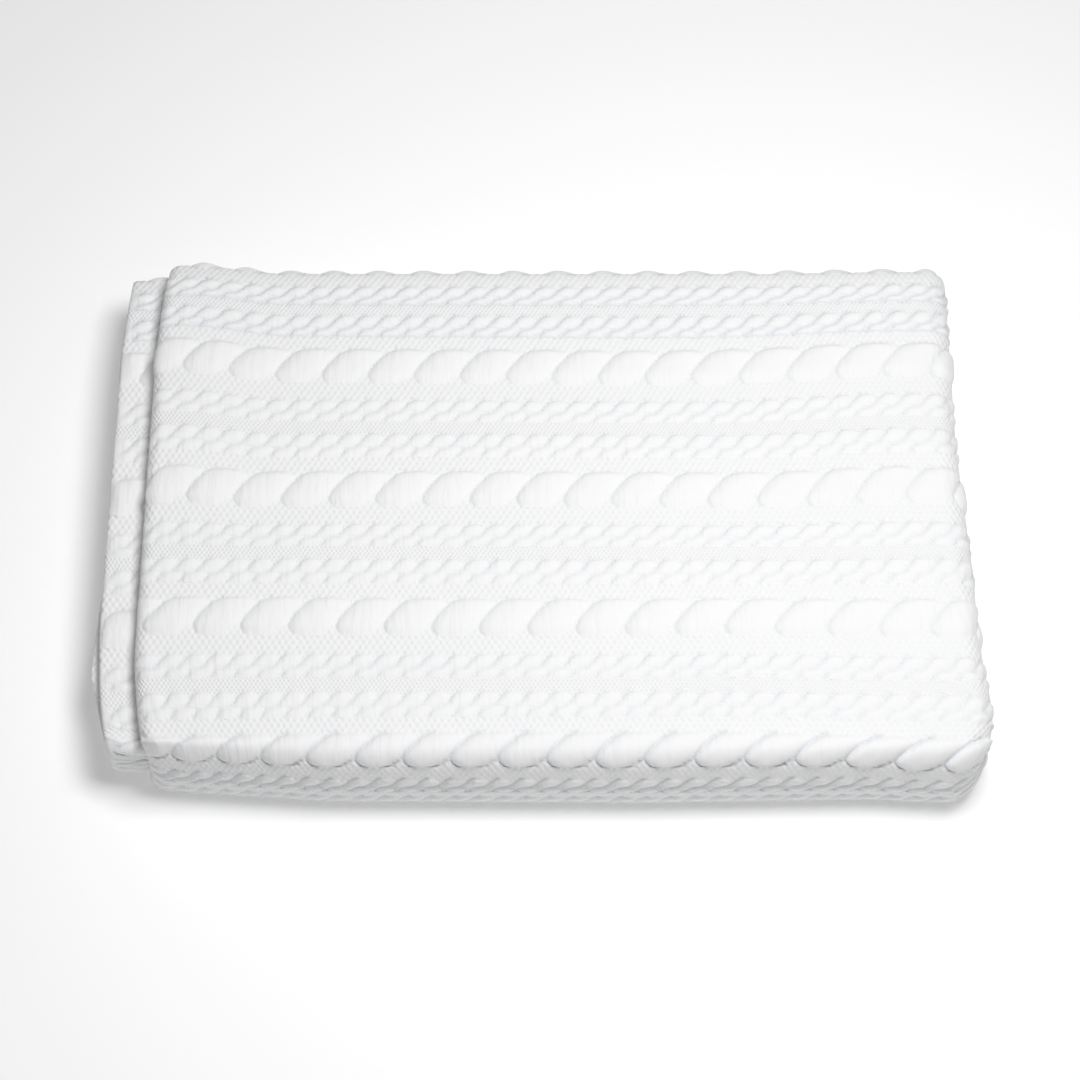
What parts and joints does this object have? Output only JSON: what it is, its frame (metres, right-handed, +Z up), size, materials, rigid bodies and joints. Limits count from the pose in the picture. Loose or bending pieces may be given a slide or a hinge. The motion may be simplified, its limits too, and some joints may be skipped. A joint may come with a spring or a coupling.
{
  "type": "folded cable-knit blanket",
  "caption": "White cable-knit throw blanket folded into a flat rectangular stack, a rounded fold at its front and an inner flap showing at one side.",
  "frame": {"origin": "middle of the stack's footprint, on the surface that it lies on", "axes": "+X along the stack's long side, from the free flap to the right fold; +Y from the front fold to the back; +Z up"},
  "size_m": [0.4032, 0.2682, 0.0539],
  "materials": {
    "white_knit": "matte"
  },
  "bodies": {
    "root": {"blanket_cloth": "white_knit"}
  },
  "joints": []
}
